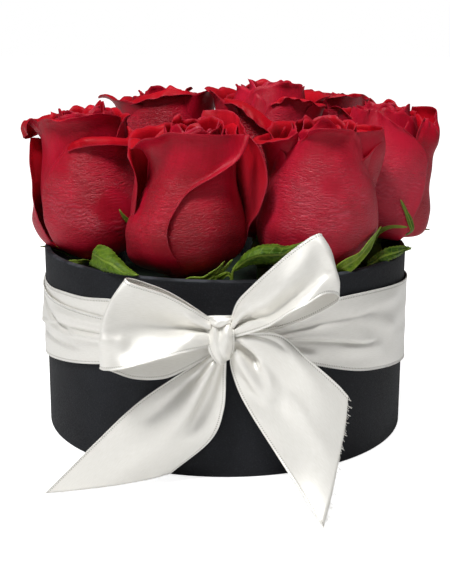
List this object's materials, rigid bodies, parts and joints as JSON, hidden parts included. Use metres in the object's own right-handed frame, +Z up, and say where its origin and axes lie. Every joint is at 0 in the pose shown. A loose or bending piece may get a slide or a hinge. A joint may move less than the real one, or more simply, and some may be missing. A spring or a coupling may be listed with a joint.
{
  "type": "flower box",
  "caption": "Round low hat box of black paper-covered board, filled with cut roses standing in wet foam, tied round with a satin ribbon and a bow.",
  "frame": {"origin": "centre of the box's underside, on the table", "axes": "+Z up, -Y towards the bow, +X to the right as seen from the bow"},
  "size_m": [0.1916, 0.2181, 0.1627],
  "materials": {
    "black_paper": "matte",
    "lining_paper": "matte",
    "grey_board": "matte",
    "clear_film": "gloss",
    "floral_foam": "matte",
    "stem": "satin",
    "sepal": "matte",
    "leaf": "satin",
    "petal": "matte",
    "satin_ribbon": "satin"
  },
  "bodies": {
    "box": {"base_paper": "black_paper", "board_base": "grey_board", "board_wall": "grey_board", "covering_paper": "black_paper", "inner_lining": "lining_paper", "ribbon_band": "satin_ribbon", "bow_knot": "satin_ribbon", "bow_loop_left": "satin_ribbon", "bow_loop_right": "satin_ribbon", "bow_tail_left": "satin_ribbon", "bow_tail_right": "satin_ribbon"},
    "insert": {"waterproof_liner": "clear_film", "foam_block": "floral_foam", "leaf_front_left": "leaf", "leaf_front_middle": "leaf", "leaf_front_right": "leaf", "leaf_back_left": "leaf", "leaf_back_middle": "leaf", "leaf_back_right": "leaf"},
    "rose_1": {"rose_1_stem": "stem", "rose_1_calyx": "sepal", "rose_1_heart": "petal", "rose_1_inner_petals": "petal", "rose_1_outer_petals": "petal"},
    "rose_2": {"rose_2_stem": "stem", "rose_2_calyx": "sepal", "rose_2_heart": "petal", "rose_2_inner_petals": "petal", "rose_2_outer_petals": "petal"},
    "rose_3": {"rose_3_stem": "stem", "rose_3_calyx": "sepal", "rose_3_heart": "petal", "rose_3_inner_petals": "petal", "rose_3_outer_petals": "petal"},
    "rose_4": {"rose_4_stem": "stem", "rose_4_calyx": "sepal", "rose_4_heart": "petal", "rose_4_inner_petals": "petal", "rose_4_outer_petals": "petal"},
    "rose_5": {"rose_5_stem": "stem", "rose_5_calyx": "sepal", "rose_5_heart": "petal", "rose_5_inner_petals": "petal", "rose_5_outer_petals": "petal"},
    "rose_6": {"rose_6_stem": "stem", "rose_6_calyx": "sepal", "rose_6_heart": "petal", "rose_6_inner_petals": "petal", "rose_6_outer_petals": "petal"},
    "rose_7": {"rose_7_stem": "stem", "rose_7_calyx": "sepal", "rose_7_heart": "petal", "rose_7_inner_petals": "petal", "rose_7_outer_petals": "petal"}
  },
  "joints": [
    {"name": "insert_lift", "type": "slide", "parent": "box", "child": "insert", "axis": [0, 0, 1], "range_m": [0, 0.1]},
    {"name": "rose_1_pull", "type": "slide", "parent": "insert", "child": "rose_1", "axis": [-0.0595, -0.1189, 0.9911], "range_m": [0, 0.06]},
    {"name": "rose_2_pull", "type": "slide", "parent": "insert", "child": "rose_2", "axis": [0.0795, -0.0795, 0.9937], "range_m": [0, 0.06]},
    {"name": "rose_3_pull", "type": "slide", "parent": "insert", "child": "rose_3", "axis": [-0.1191, -0.0298, 0.9924], "range_m": [0, 0.06]},
    {"name": "rose_4_pull", "type": "slide", "parent": "insert", "child": "rose_4", "axis": [0.0896, 0.01, 0.9959], "range_m": [0, 0.06]},
    {"name": "rose_5_pull", "type": "slide", "parent": "insert", "child": "rose_5", "axis": [-0.0398, 0.0896, 0.9952], "range_m": [0, 0.06]},
    {"name": "rose_6_pull", "type": "slide", "parent": "insert", "child": "rose_6", "axis": [0.02, 0.02, 0.9996], "range_m": [0, 0.06]},
    {"name": "rose_7_pull", "type": "slide", "parent": "insert", "child": "rose_7", "axis": [0.0597, 0.0796, 0.995], "range_m": [0, 0.06]}
  ]
}
